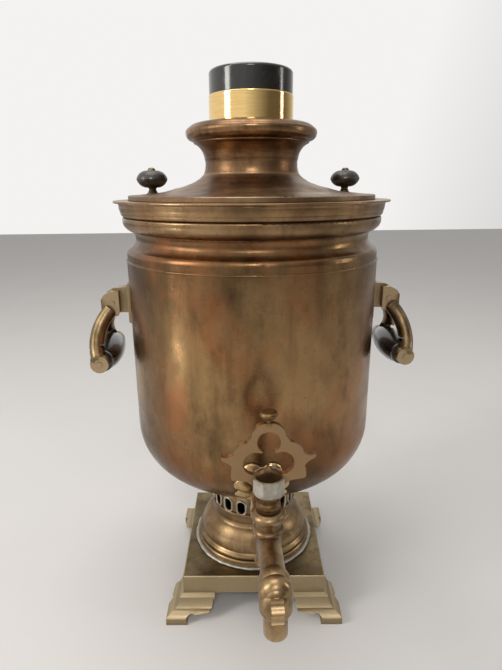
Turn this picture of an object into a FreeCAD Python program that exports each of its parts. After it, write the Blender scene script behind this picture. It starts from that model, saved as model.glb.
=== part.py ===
import FreeCAD, Part
import math
import os
import Sketcher

# A charcoal samovar with a straight-sided five-litre jar, in millimetres.
# The origin is on the table under the jar's axis: +Z up, the tap along -Y, the handles along X.

V = FreeCAD.Vector
doc = FreeCAD.newDocument("Samovar")
sheet = doc.addObject("Spreadsheet::Sheet", "Sizes")

# Driving dimensions: name, value, what it measures
SIZES = [
    ("fit_gap", 0.05, "gap of pieces soldered or turned to fit each other"),
    ("foot_height", 22.0, "table to the underside of the base"),
    ("foot_wing", 29.0, "length of a corner foot along each side of the base"),
    ("foot_spread", 15.0, "how far a toe stands outside the base"),
    ("foot_wall", 4.5, "thickness of a foot's wings"),
    ("toe_height", 6.5, "height of the toe block"),
    ("base_side", 130.3, "side of the square base"),
    ("base_depth", 18.3, "height of the base's side walls"),
    ("base_wall", 4.0, "thickness of the base's walls and top"),
    ("base_turn", -3.5, "degrees that the base is turned against the jar"),
    ("base_rounding", 1.4, "rounding of the base's top edges"),
    ("solder_radius", 57.6, "outer radius of the solder ring under the pedestal"),
    ("solder_height", 2.0, "thickness of the solder ring"),
    ("pedestal_radius", 56.0, "radius of the pedestal's foot"),
    ("pedestal_height", 81.9, "height of the pedestal"),
    ("pedestal_wall", 2.5, "wall of the pedestal"),
    ("neck_radius", 40.0, "radius of the pedestal's neck"),
    ("draught_height", 93.5, "table to the middle of the draught holes"),
    ("draught_width", 7.8, "width of a draught hole"),
    ("draught_length", 13.0, "height of a draught hole"),
    ("grate_seat", 33.0, "inner radius of the ledge that carries the grate"),
    ("grate_thickness", 5.0, "thickness of the iron grate"),
    ("grate_slot", 5.0, "width of a slot in the grate"),
    ("jar_radius", 106.5, "outer radius of the jar"),
    ("jar_wall", 1.4, "wall of the jar"),
    ("jar_belly", 52.2, "height of the jar's rounded bottom"),
    ("jar_straight", 147.9, "height of the jar's straight wall"),
    ("jar_bottom_radius", 42.0, "radius where the rounded bottom ends"),
    ("shoulder_height", 23.6, "height of the drawn-in shoulder over the straight wall"),
    ("shoulder_radius", 98.2, "outer radius of the drawn-in neck of the jar"),
    ("tube_radius", 37.2, "outer radius of the fire tube at the bottom"),
    ("tube_top_radius", 30.0, "outer radius of the fire tube at the top"),
    ("tube_length", 301.0, "length of the fire tube"),
    ("tube_wall", 1.5, "wall of the fire tube"),
    ("ring_height", 24.5, "height of the moulded ring that the lid rests on"),
    ("ring_lip_radius", 113.6, "radius of the ring's thin top lip"),
    ("ring_lip", 1.6, "thickness of the ring's top lip"),
    ("ring_step_radius", 110.0, "radius of the ring's upper step"),
    ("ring_bore", 99.0, "inner radius of the ring's mouth"),
    ("ring_foot_bore", 95.6, "inner radius at the ring's lower edge"),
    ("lid_radius", 102.0, "radius of the lid"),
    ("lid_edge", 3.6, "height of the lid's edge"),
    ("lid_rise", 20.0, "height of the lid from the ring to the crown"),
    ("lid_wall", 1.4, "wall of the lid"),
    ("lid_fall", 2.3, "how far the lid's flat outer part falls towards its edge"),
    ("lid_bead", 0.2, "how far the lid's flat part stands over its edge"),
    ("lid_collar_radius", 39.9, "outer radius of the lid's raised collar"),
    ("lid_bore", 36.0, "radius of the hole for the fire tube"),
    ("flange_depth", 10.0, "depth of the locating rim under the lid"),
    ("flange_wall", 1.2, "thickness of the locating rim"),
    ("flange_gap", 0.6, "play of the locating rim in the ring"),
    ("knob_distance", 82.0, "axis of the jar to the axis of a lid knob"),
    ("knob_turn", 6.0, "degrees that the lid is turned on the jar"),
    ("knob_radius", 12.5, "radius of a lid knob"),
    ("knob_height", 13.4, "height of a lid knob"),
    ("knob_clearance", 4.0, "length of the ferrule under a lid knob"),
    ("knob_bolt_radius", 2.2, "radius of the bolt through a lid knob"),
    ("ferrule_radius", 3.6, "radius of the ferrule under a lid knob"),
    ("nut_width", 8.0, "width over the flats of a nut"),
    ("nut_height", 3.0, "height of a nut"),
    ("vent_distance", 86.0, "axis of the jar to the axis of the steam vent"),
    ("vent_radius", 6.5, "outer radius of the steam vent's seat"),
    ("vent_bore", 3.2, "radius of the steam vent's bore"),
    ("vent_height", 6.0, "height of the steam vent's seat"),
    ("vent_cap_height", 7.0, "height of the steam vent's cap"),
    ("vent_cap_turn", 0.3, "play between the cap's stem and the vent's bore"),
    ("crown_height", 39.6, "height of the crown that carries the teapot"),
    ("crown_radius", 53.4, "largest radius of the crown"),
    ("crown_waist", 38.1, "radius of the crown's waist"),
    ("crown_mouth", 35.5, "radius of the crown's mouth"),
    ("crown_wall", 2.4, "wall of the crown"),
    ("crown_setback", 0.8, "how far the crown's foot stays outside the lid's hole"),
    ("sleeve_radius", 32.9, "outer radius of the crown's inner sleeve"),
    ("sleeve_wall", 1.2, "wall of the crown's inner sleeve"),
    ("sleeve_drop", 8.0, "how far the inner sleeve reaches into the lid"),
    ("cap_seat_drop", 4.0, "how far the cap's band stands inside the crown's mouth"),
    ("band_radius", 34.1, "outer radius of the cap's bright band"),
    ("band_height", 24.0, "height of the cap's bright band"),
    ("band_wall", 1.2, "wall of the cap's bright band"),
    ("cap_radius", 33.5, "radius of the cap's black top"),
    ("cap_height", 18.0, "height of the cap's black top"),
    ("cap_wall", 3.0, "wall of the cap's black top"),
    ("cap_spigot", 7.0, "how far the black top reaches into the band"),
    ("tap_height", 156.0, "table to the axis of the tap's spout"),
    ("tap_reach", 156.0, "axis of the jar to the axis of the tap's plug"),
    ("shank_radius", 9.0, "radius of the tap's shank"),
    ("tap_inside", 93.0, "axis of the jar to the shank's inner end"),
    ("barrel_radius", 9.7, "radius of the rings round the tap's barrel"),
    ("barrel_top", 23.0, "spout's axis to the top of the barrel"),
    ("barrel_drop", 18.0, "spout's axis to the underside of the barrel"),
    ("plug_radius", 6.6, "radius of the plug at the barrel's top"),
    ("plug_taper", 1.2, "how much smaller the plug is at the barrel's underside"),
    ("waterway", 3.2, "radius of the water passage"),
    ("spout_radius", 8.0, "radius of the spout's tube"),
    ("spout_reach", 47.0, "plug's axis to the axis of the spout's mouth"),
    ("spout_drop", 28.0, "spout's axis to the mouth"),
    ("elbow_radius", 9.6, "radius of the swelling at the spout's bend"),
    ("mouth_radius", 7.4, "outer radius of the spout's mouth"),
    ("mouth_bore", 4.6, "radius of the spout's bore"),
    ("hook_width", 7.4, "width of the curled lug on the spout"),
    ("key_neck", 11.5, "height of the turned neck over the barrel"),
    ("collar_radius", 11.0, "radius over the corners of the key's collar"),
    ("collar_height", 14.0, "height of the key's collar"),
    ("key_thickness", 4.0, "thickness of the key plate"),
    ("key_half_span", 30.0, "middle of the key to the tip of a wing"),
    ("key_height", 47.6, "foot of the key plate to the top of its lobe"),
    ("key_lobe", 11.6, "radius of the key's top lobe"),
    ("key_hole", 7.5, "radius of the round openings in the key"),
    ("finial_radius", 5.1, "radius of the small disc on the key"),
    ("petal_radius", 21.0, "radius over the shorter petals behind the tap"),
    ("petal_thickness", 2.4, "thickness of the petals behind the tap"),
    ("handle_height", 286.5, "table to the axis of a handle's cross pin"),
    ("handle_pin_reach", 122.0, "axis of the jar to a handle's cross pin"),
    ("handle_grip_reach", 131.0, "axis of the jar to a handle's grip"),
    ("handle_grip_drop", 46.0, "cross pin to the axis of the grip"),
    ("handle_bulge", 135.0, "axis of the jar to the middle of a handle's arm"),
    ("tongue_width", 10.0, "width of the bracket between the handle's ears"),
    ("ear_size", 8.4, "cross pin to the outer edge of the bracket's tongue"),
    ("ear_thickness", 5.6, "thickness of an ear"),
    ("arm_radius", 6.2, "radius of a handle's arm"),
    ("boss_radius", 7.5, "radius of the boss at the end of an arm"),
    ("boss_length", 9.0, "length of the boss at the end of an arm"),
    ("grip_length", 58.0, "length of a wooden grip"),
    ("grip_radius", 13.2, "largest radius of a wooden grip"),
    ("grip_end_radius", 9.6, "radius of a wooden grip at its ends"),
    ("grip_clearance", 1.0, "gap between a wooden grip and the arms that curve round it"),
    ("rod_radius", 2.4, "radius of the rod through a grip"),
    ("pin_radius", 2.2, "radius of a handle's cross pin"),
    ("wall_plate", 2.4, "thickness of the plate behind a handle"),
    ("wall_plate_height", 36.0, "height of the plate behind a handle"),
]


class Size:
    """A length that carries its value and the sheet formula it comes from."""

    def __init__(self, value, formula):
        self.value = value
        self.formula = formula

    def __add__(self, other):
        other = as_size(other)
        return Size(self.value + other.value, f"({self.formula} + {other.formula})")

    def __sub__(self, other):
        other = as_size(other)
        return Size(self.value - other.value, f"({self.formula} - {other.formula})")

    def __mul__(self, other):
        other = as_size(other)
        return Size(self.value * other.value, f"({self.formula} * {other.formula})")

    def __neg__(self):
        return Size(-self.value, f"(0 - {self.formula})")

    def __rsub__(self, other):
        return as_size(other) - self

    __radd__ = __add__
    __rmul__ = __mul__


def as_size(number):
    if isinstance(number, Size):
        return number
    return Size(float(number), f"{float(number):.6f}")


class Named:
    """Every driving dimension by its name."""


for row, (alias, amount, meaning) in enumerate(SIZES, start=1):
    sheet.set(f"A{row}", meaning)
    sheet.set(f"B{row}", str(amount))
    sheet.setAlias(f"B{row}", alias)
doc.recompute()
d = Named()
for alias, _, _ in SIZES:
    setattr(d, alias, Size(float(getattr(sheet, alias)), f"Sizes.{alias}"))

bodies = []


def new_body(label):
    body = doc.addObject("PartDesign::Body", label)
    body.Label = label
    bodies.append(body)
    return body


def new_sketch(body, role, name, offset=None):
    """A sketch on one of the body's own planes, moved along the plane's normal by an offset."""
    sketch = body.newObject("Sketcher::SketchObject", name)
    plane = [item for item in body.Origin.OriginFeatures if item.Role == role][0]
    sketch.AttachmentSupport = (plane, [""])
    sketch.MapMode = "FlatFace"
    if offset is not None:
        sketch.AttachmentOffset = FreeCAD.Placement(V(0, 0, offset.value), FreeCAD.Rotation())
        sketch.setExpression("AttachmentOffset.Base.z", offset.formula)
    return sketch


def fix_point(sketch, geometry, position, x, y):
    """Tie a point of a sketch to its place, measured from the sketch's origin."""
    for kind, amount in (("DistanceX", as_size(x)), ("DistanceY", as_size(y))):
        if amount.value < 0:
            constraint = Sketcher.Constraint(kind, geometry, position, -1, 1, -amount.value)
            formula = (-amount).formula
        else:
            constraint = Sketcher.Constraint(kind, -1, 1, geometry, position, amount.value)
            formula = amount.formula
        index = sketch.addConstraint(constraint)
        sketch.setExpression(f"Constraints[{index}]", formula)


def draw_outline(sketch, points):
    """A closed outline through points (x, y) or (x, y, bow).

    A bow makes the stretch that leads to its point an arc: it is the arc's height over
    its chord as a share of the chord, to the right of the way along the outline."""
    count = len(points)
    edges = []
    for index in range(count):
        x0, y0 = [as_size(item) for item in points[index - 1][:2]]
        x1, y1 = [as_size(item) for item in points[index][:2]]
        start = V(x0.value, y0.value, 0)
        end = V(x1.value, y1.value, 0)
        if len(points[index]) == 2:
            edge = sketch.addGeometry(Part.LineSegment(start, end), False)
            edges.append((edge, 1, 2))
            continue
        bow = points[index][2]
        middle_x = 0.5 * (x0 + x1) + bow * (y1 - y0)
        middle_y = 0.5 * (y0 + y1) - bow * (x1 - x0)
        middle = V(middle_x.value, middle_y.value, 0)
        edge = sketch.addGeometry(Part.Arc(start, middle, end), False)
        kept_start = sketch.getPoint(edge, 1)
        forward = kept_start.distanceToPoint(start) < kept_start.distanceToPoint(end)
        edges.append((edge, 1, 2) if forward else (edge, 2, 1))
        helper = sketch.addGeometry(Part.Point(middle), True)
        sketch.addConstraint(Sketcher.Constraint("PointOnObject", helper, 1, edge))
        fix_point(sketch, helper, 1, middle_x, middle_y)
    for index in range(count):
        before, _, before_end = edges[index - 1]
        edge, edge_start, _ = edges[index]
        sketch.addConstraint(Sketcher.Constraint("Coincident", before, before_end, edge, edge_start))
        fix_point(sketch, edge, edges[index][2], points[index][0], points[index][1])


def draw_circle(sketch, x, y, radius):
    radius = as_size(radius)
    centre = V(as_size(x).value, as_size(y).value, 0)
    circle = sketch.addGeometry(Part.Circle(centre, V(0, 0, 1), radius.value), False)
    fix_point(sketch, circle, 3, x, y)
    index = sketch.addConstraint(Sketcher.Constraint("Radius", circle, radius.value))
    sketch.setExpression(f"Constraints[{index}]", radius.formula)


def draw_box(sketch, x0, y0, x1, y1):
    draw_outline(sketch, [(x0, y0), (x1, y0), (x1, y1), (x0, y1)])


def bind(feature, name, size):
    size = as_size(size)
    setattr(feature, name, size.value)
    feature.setExpression(name, size.formula)


def turn(body, name, points, kind="Revolution", offset=None):
    """Turn an outline of (radius, height) points once round an upright axis, adding or cutting.

    The axis is the body's own Z axis, moved towards -Y by an offset."""
    sketch = new_sketch(body, "XZ_Plane", name + "_outline", offset)
    draw_outline(sketch, points)
    feature = body.newObject("PartDesign::" + kind, name)
    feature.Profile = sketch
    feature.ReferenceAxis = (sketch, ["V_Axis"])
    feature.Angle = 360
    return feature


def extrude(body, name, sketch, length, both_ways=False, reverse=False):
    pad = body.newObject("PartDesign::Pad", name)
    pad.Profile = sketch
    bind(pad, "Length", length)
    pad.SideType = "Symmetric" if both_ways else "One side"
    pad.Reversed = reverse
    return pad


def cut(body, name, sketch, length, both_ways=False, reverse=False):
    pocket = body.newObject("PartDesign::Pocket", name)
    pocket.Profile = sketch
    bind(pocket, "Length", length)
    pocket.SideType = "Symmetric" if both_ways else "One side"
    pocket.Reversed = reverse
    return pocket


def repeat(body, name, feature, count):
    """Copies of a feature round the body's own Z axis."""
    pattern = body.newObject("PartDesign::PolarPattern", name)
    pattern.Originals = [feature]
    pattern.Axis = ([item for item in body.Origin.OriginFeatures if item.Role == "Z_Axis"][0], [""])
    pattern.Angle = 360
    pattern.Occurrences = count
    body.Tip = pattern
    return pattern


def put(body, x, y, z, degrees=0.0):
    """Place a body, its place and its turn about Z bound to the sheet."""
    x, y, z, degrees = [as_size(item) for item in (x, y, z, degrees)]
    spin = FreeCAD.Rotation(V(0, 0, 1), degrees.value)
    body.Placement = FreeCAD.Placement(V(x.value, y.value, z.value), spin)
    body.setExpression("Placement.Base.x", x.formula)
    body.setExpression("Placement.Base.y", y.formula)
    body.setExpression("Placement.Base.z", z.formula)
    if degrees.value != 0:
        body.setExpression("Placement.Rotation.Angle", f"({degrees.formula}) * 1 deg")


def turned_body(label, points):
    body = new_body(label)
    turn(body, label + "_turned", points)
    return body


# Heights of the seats, one above the other, from the table up
base_top = d.foot_height + d.base_depth
pedestal_seat = base_top + d.solder_height
jar_bottom = pedestal_seat + d.pedestal_height
wall_foot = jar_bottom + d.jar_belly
wall_top = wall_foot + d.jar_straight
ring_seat = wall_top + d.shoulder_height
lid_seat = ring_seat + d.ring_height
crown_seat = lid_seat + d.lid_rise
crown_top = crown_seat + d.crown_height
cap_seat = crown_top - d.cap_seat_drop
tube_top = jar_bottom + d.tube_length


def base_plate():
    """The square cast base, open underneath."""
    body = new_body("base_plate")
    half = 0.5 * d.base_side
    sketch = new_sketch(body, "XY_Plane", "base_square", d.foot_height)
    draw_box(sketch, -half, -half, half, half)
    block = extrude(body, "base_block", sketch, d.base_depth)
    inside = half - d.base_wall
    sketch = new_sketch(body, "XY_Plane", "base_hollow_square", d.foot_height)
    draw_box(sketch, -inside, -inside, inside, inside)
    hollow = cut(body, "base_hollow", sketch, d.base_depth - d.base_wall, reverse=True)
    doc.recompute()
    top = [f"Edge{number}" for number, edge in enumerate(hollow.Shape.Edges, start=1)
           if edge.BoundBox.ZMin > base_top.value - 0.1]
    rounding = body.newObject("PartDesign::Fillet", "base_rounding_edge")
    rounding.Base = (hollow, top)
    bind(rounding, "Radius", d.base_rounding)
    put(body, 0, 0, 0, d.base_turn)


def foot_side(sketch, frame):
    """One side view of a corner foot, from the outer toe to the end of the wing."""
    top = d.foot_height
    wing = d.foot_wing
    toe = d.toe_height
    spread = d.foot_spread
    points = [
        (-spread, 0),
        (0.27 * spread, 0),
        (0.2 * spread, toe),
        (0.38 * wing, 0.4 * top, -0.2),
        (0.74 * wing, 0.44 * top),
        (0.93 * wing, 0.64 * top, 0.22),
        (0.93 * wing, 0.8 * top),
        (wing, 0.8 * top),
        (wing, top),
        (0, top),
        (-0.24 * spread, 0.9 * top),
        (-0.5 * spread, 0.5 * top, -0.08),
        (-1.0 * spread, toe, 0.1),
    ]
    if frame is not None:
        draw_box(sketch, -frame, -frame, frame, frame)
    draw_outline(sketch, points)


def corner_foot(label, corner):
    """A cast corner foot: two wings under the base and a leg that sweeps out to a toe."""
    body = new_body(label)
    sketch = new_sketch(body, "XZ_Plane", label + "_front", -d.foot_wing)
    foot_side(sketch, None)
    extrude(body, label + "_block", sketch, d.foot_wing + d.foot_spread)
    sketch = new_sketch(body, "YZ_Plane", label + "_side")
    foot_side(sketch, 3 * d.foot_wing)
    cut(body, label + "_trim", sketch, 6 * d.foot_wing, both_ways=True)
    sketch = new_sketch(body, "XY_Plane", label + "_inside", d.foot_height)
    far = 2 * d.foot_wing
    draw_box(sketch, d.foot_wall, d.foot_wall, far, far)
    cut(body, label + "_hollow", sketch, d.foot_height)
    angle = math.radians(90 * corner + d.base_turn.value)
    reach = 0.5 * d.base_side
    x = reach * (math.sin(angle) - math.cos(angle))
    y = -reach * (math.sin(angle) + math.cos(angle))
    put(body, x, y, 0, d.base_turn + 90 * corner)


def solder_ring():
    """The grey ring of solder between the base and the pedestal."""
    inner = d.pedestal_radius - 3 * d.pedestal_wall
    turned_body("solder_ring", [
        (inner, base_top),
        (d.solder_radius, base_top),
        (d.solder_radius - 0.4 * d.solder_height, pedestal_seat, 0.2),
        (inner, pedestal_seat),
    ])


def pedestal():
    """The bell-shaped pedestal, its neck pierced all round with draught holes."""
    foot = d.pedestal_radius
    neck = d.neck_radius
    rise = d.pedestal_height
    wall = d.pedestal_wall
    low = pedestal_seat
    bell = foot - neck
    body = turned_body("pedestal", [
        (foot, low),
        (foot, low + 0.045 * rise),
        (foot - 0.16 * bell, low + 0.062 * rise, 0.2),
        (foot - 0.16 * bell, low + 0.118 * rise, 0.32),
        (foot - 0.24 * bell, low + 0.135 * rise),
        (foot - 0.40 * bell, low + 0.25 * rise, 0.08),
        (foot - 0.90 * bell, low + 0.37 * rise, 0.07),
        (neck, low + 0.44 * rise, -0.16),
        (neck, low + 0.51 * rise),
        (neck + 0.09 * bell, low + 0.53 * rise, 0.35),
        (neck, low + 0.55 * rise, 0.35),
        (neck, low + rise),
        (d.grate_seat, low + rise),
        (d.grate_seat, low + rise - wall),
        (neck - wall, low + rise - 2 * wall),
        (neck - wall, low + 0.42 * rise),
        (foot - 0.5 * bell - 2 * wall, low + 0.25 * rise),
        (foot - 0.16 * bell - 2 * wall, low),
    ])
    sketch = new_sketch(body, "XZ_Plane", "draught_hole_outline")
    half = 0.5 * d.draught_width
    straight = 0.5 * (d.draught_length - d.draught_width)
    draw_outline(sketch, [
        (half, d.draught_height - straight),
        (half, d.draught_height + straight),
        (-half, d.draught_height + straight, 0.5),
        (-half, d.draught_height - straight),
        (half, d.draught_height - straight, 0.5),
    ][1:])
    hole = cut(body, "draught_hole", sketch, 2 * neck, reverse=True)
    repeat(body, "draught_holes", hole, 18)


def grate():
    """The slotted iron grate that holds the charcoal."""
    radius = d.tube_radius - d.tube_wall - 6 * d.fit_gap
    body = turned_body("grate", [
        (0, jar_bottom),
        (radius, jar_bottom),
        (radius, jar_bottom + d.grate_thickness),
        (0, jar_bottom + d.grate_thickness),
    ])
    sketch = new_sketch(body, "XY_Plane", "grate_slot_outline", jar_bottom)
    half = 0.5 * d.grate_slot
    draw_box(sketch, 0.24 * radius, -half, 0.84 * radius, half)
    slot = cut(body, "grate_slot", sketch, d.grate_thickness, reverse=True)
    repeat(body, "grate_slots", slot, 8)


def jar_skin(out):
    """The jar's outside from the flat bottom to the straight wall, moved out by a distance."""
    belly = d.jar_radius - d.jar_bottom_radius
    low = d.jar_bottom_radius
    return [
        (low, jar_bottom - out),
        (low + 0.707 * (belly + out), wall_foot - 0.707 * (d.jar_belly + out), 0.0845),
        (d.jar_radius + out, wall_foot, 0.115),
    ]


def jar():
    """The spun jar: round bottom, straight wall, and a drawn-in shoulder under the ring."""
    radius = d.jar_radius
    neck = d.shoulder_radius
    rise = d.shoulder_height
    wall = d.jar_wall
    drawn = radius - neck
    body = new_body("body_shell")
    turn(body, "jar_wall_turned", [
        (d.tube_radius + d.fit_gap, jar_bottom),
        *jar_skin(as_size(0)),
        (radius, wall_top),
        (radius, wall_top + 0.06 * rise, 0.45),
        (radius - 0.06 * drawn, wall_top + 0.08 * rise),
        (radius - 0.06 * drawn, wall_top + 0.26 * rise),
        (radius - 0.30 * drawn, wall_top + 0.44 * rise, 0.12),
        (neck + 0.08 * drawn, wall_top + 0.66 * rise, -0.08),
        (neck, wall_top + 0.82 * rise, -0.1),
        (neck + 0.2 * drawn, ring_seat, -0.1),
        (neck + 0.2 * drawn - wall, ring_seat),
        (neck - wall, wall_top + 0.82 * rise, 0.1),
        (neck + 0.08 * drawn - wall, wall_top + 0.66 * rise, 0.1),
        (radius - 0.30 * drawn - wall, wall_top + 0.44 * rise, 0.08),
        (radius - 0.06 * drawn - wall, wall_top + 0.26 * rise, -0.12),
        (radius - 0.06 * drawn - wall, wall_top),
        (radius - wall, wall_top - wall),
        (radius - wall, wall_foot),
        (d.jar_bottom_radius + 0.707 * (radius - d.jar_bottom_radius - wall),
         wall_foot - 0.707 * (d.jar_belly - wall), -0.115),
        (d.jar_bottom_radius, jar_bottom + wall, -0.0845),
        (d.tube_radius + d.fit_gap, jar_bottom + wall),
    ])
    sketch = new_sketch(body, "XZ_Plane", "tap_hole_outline")
    draw_circle(sketch, 0, d.tap_height, d.shank_radius + d.fit_gap)
    cut(body, "tap_hole", sketch, 2 * radius, reverse=True)


def fire_tube():
    """The tapered tube through the water, from the grate to the crown."""
    low = d.tube_radius
    high = d.tube_top_radius
    wall = d.tube_wall
    straight = jar_bottom + 4 * wall
    turned_body("fire_tube", [
        (low, jar_bottom),
        (low, straight),
        (high, tube_top),
        (high - wall, tube_top),
        (low - wall, straight),
        (low - wall, jar_bottom),
    ])


def rim_ring():
    """The moulded ring on the jar's neck: two steps under a thin lip."""
    step = d.ring_step_radius
    rise = d.ring_height
    low = ring_seat
    foot = d.shoulder_radius + 0.2 * (d.jar_radius - d.shoulder_radius)
    turned_body("rim_ring", [
        (foot, low),
        (step - 0.34 * (step - foot), low + 0.19 * rise, 0.09),
        (step - 0.22 * (step - foot), low + 0.41 * rise, 0.08),
        (step - 0.36 * (step - foot), low + 0.49 * rise, 0.2),
        (step - 0.20 * (step - foot), low + 0.53 * rise),
        (step - 0.10 * (step - foot), low + 0.65 * rise, 0.1),
        (step, low + 0.86 * rise, 0.06),
        (step + 0.3 * (d.ring_lip_radius - step), lid_seat - d.ring_lip, -0.15),
        (d.ring_lip_radius, lid_seat - d.ring_lip),
        (d.ring_lip_radius, lid_seat, 0.35),
        (d.ring_bore, lid_seat),
        (d.ring_bore, lid_seat - d.flange_depth - 4 * d.flange_wall),
        (d.ring_foot_bore, low),
    ])


def lid_surface(distance):
    """Height of the lid's top face at a distance from its axis, on its flat outer cone."""
    outer = 0.98 * d.lid_radius
    inner = 0.735 * d.lid_radius
    slope = d.lid_fall.value / (outer.value - inner.value)
    return lid_seat + d.lid_edge + d.lid_bead + slope * (outer - distance)


def lid_shell():
    """The spun lid: a flat cone that rises to a collar round the fire tube."""
    radius = d.lid_radius
    edge = d.lid_edge
    wall = d.lid_wall
    body = turned_body("lid_shell", [
        (radius - 0.3 * wall, lid_seat),
        (radius, lid_seat + 0.1 * edge),
        (radius, lid_seat + 0.9 * edge),
        (0.98 * radius, lid_surface(0.98 * radius), 0.2),
        (0.735 * radius, lid_surface(0.735 * radius)),
        (0.627 * radius, lid_seat + 0.45 * d.lid_rise, -0.02),
        (0.508 * radius, lid_seat + 0.62 * d.lid_rise, -0.03),
        (0.44 * radius, lid_seat + 0.79 * d.lid_rise, -0.05),
        (d.lid_collar_radius, crown_seat, -0.06),
        (d.lid_bore, crown_seat),
        (d.lid_bore, crown_seat - 2 * wall),
        (0.44 * radius - wall, lid_seat + 0.79 * d.lid_rise - wall),
        (0.508 * radius - wall, lid_seat + 0.62 * d.lid_rise - wall),
        (0.627 * radius, lid_seat + 0.45 * d.lid_rise - wall),
        (0.735 * radius, lid_surface(0.735 * radius) - wall),
        (0.94 * radius, lid_surface(0.94 * radius) - wall),
        (0.94 * radius, lid_seat),
    ])
    sketch = new_sketch(body, "XY_Plane", "lid_hole_outlines", lid_seat)
    for side in (1, -1):
        draw_circle(sketch, side * d.knob_distance, 0, d.knob_bolt_radius + 2 * d.fit_gap)
    draw_circle(sketch, 0, d.vent_distance, d.vent_bore)
    cut(body, "lid_holes", sketch, d.lid_rise, reverse=True)
    put(body, 0, 0, 0, d.knob_turn)


def lid_flange():
    """The rim under the lid that keeps it in the middle of the ring."""
    outer = d.ring_bore - d.flange_gap
    turned_body("lid_flange", [
        (outer - d.flange_wall, lid_seat),
        (outer - d.flange_wall, lid_seat - d.flange_depth),
        (outer, lid_seat - d.flange_depth),
        (outer, lid_seat),
    ])


# The ferrules stand level on the sloping lid, on the side nearer to the collar
ferrule_foot = lid_surface(d.knob_distance - 1.15 * d.ferrule_radius)
knob_bottom = ferrule_foot + d.knob_clearance
nut_top = lid_surface(d.knob_distance + 0.6 * d.nut_width) - d.lid_wall


def put_on_lid(body, side):
    angle = math.radians(d.knob_turn.value)
    reach = side * d.knob_distance
    put(body, reach * math.cos(angle), reach * math.sin(angle), 0, d.knob_turn)


def lid_knob(name, side):
    """A turned wooden knob, its ferrule and bolt, and the nut under the lid."""
    radius = d.knob_radius
    rise = d.knob_height
    bolt = d.knob_bolt_radius
    bore = bolt + d.fit_gap
    top = knob_bottom + rise
    knob = turned_body("lid_knob_" + name, [
        (bore, knob_bottom),
        (0.32 * radius, knob_bottom),
        (radius, knob_bottom + 0.5 * rise, 0.17),
        (0.32 * radius, top, 0.17),
        (bore, top),
    ])
    put_on_lid(knob, side)
    ferrule = d.ferrule_radius
    shank = bolt
    stem = turned_body("lid_knob_bolt_" + name, [
        (0, nut_top - 1.8 * d.nut_height),
        (shank, nut_top - 1.8 * d.nut_height),
        (shank, ferrule_foot),
        (1.15 * ferrule, ferrule_foot),
        (ferrule, ferrule_foot + 0.3 * d.knob_clearance, -0.2),
        (0.8 * ferrule, ferrule_foot + 0.65 * d.knob_clearance, -0.1),
        (ferrule, knob_bottom, -0.1),
        (bolt, knob_bottom),
        (bolt, top),
        (0.9 * ferrule, top),
        (0.25 * ferrule, top + 0.6 * ferrule, 0.2),
        (0, top + 0.6 * ferrule),
    ])
    put_on_lid(stem, side)
    nut = new_body("lid_knob_nut_" + name)
    sketch = new_sketch(nut, "XY_Plane", "nut_outline_" + name, nut_top)
    corner = d.nut_width * (0.5 / math.cos(math.radians(30)))
    draw_outline(sketch, [
        (corner * math.cos(math.radians(60 * step)), corner * math.sin(math.radians(60 * step)))
        for step in range(6)])
    draw_circle(sketch, 0, 0, shank + d.fit_gap)
    extrude(nut, "nut_block_" + name, sketch, d.nut_height, reverse=True)
    put_on_lid(nut, side)


vent_foot = lid_surface(d.vent_distance - d.vent_radius)
vent_top = vent_foot + d.vent_height


def put_on_vent(body):
    angle = math.radians(d.knob_turn.value)
    put(body, -d.vent_distance * math.sin(angle), d.vent_distance * math.cos(angle), 0, d.knob_turn)


def steam_vent():
    """The steam vent at the back of the lid: a bored seat and the cap that closes it."""
    outer = d.vent_radius
    bore = d.vent_bore
    seat = turned_body("vent_seat", [
        (bore, vent_foot),
        (outer, vent_foot),
        (0.75 * outer, vent_foot + 0.4 * d.vent_height, -0.15),
        (outer, vent_top, -0.15),
        (bore, vent_top),
    ])
    put_on_vent(seat)
    rise = d.vent_cap_height
    stem = bore - d.vent_cap_turn
    cap = turned_body("vent_cap", [
        (0, vent_top - 0.8 * d.vent_height),
        (stem, vent_top - 0.8 * d.vent_height),
        (stem, vent_top),
        (1.1 * outer, vent_top),
        (0.9 * outer, vent_top + 0.4 * rise, 0.25),
        (0.35 * outer, vent_top + 0.55 * rise, -0.1),
        (0.45 * outer, vent_top + 0.8 * rise, 0.25),
        (0.15 * outer, vent_top + rise, 0.2),
        (0, vent_top + rise),
    ])
    put_on_vent(cap)


sleeve_ledge = cap_seat - d.sleeve_wall


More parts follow.
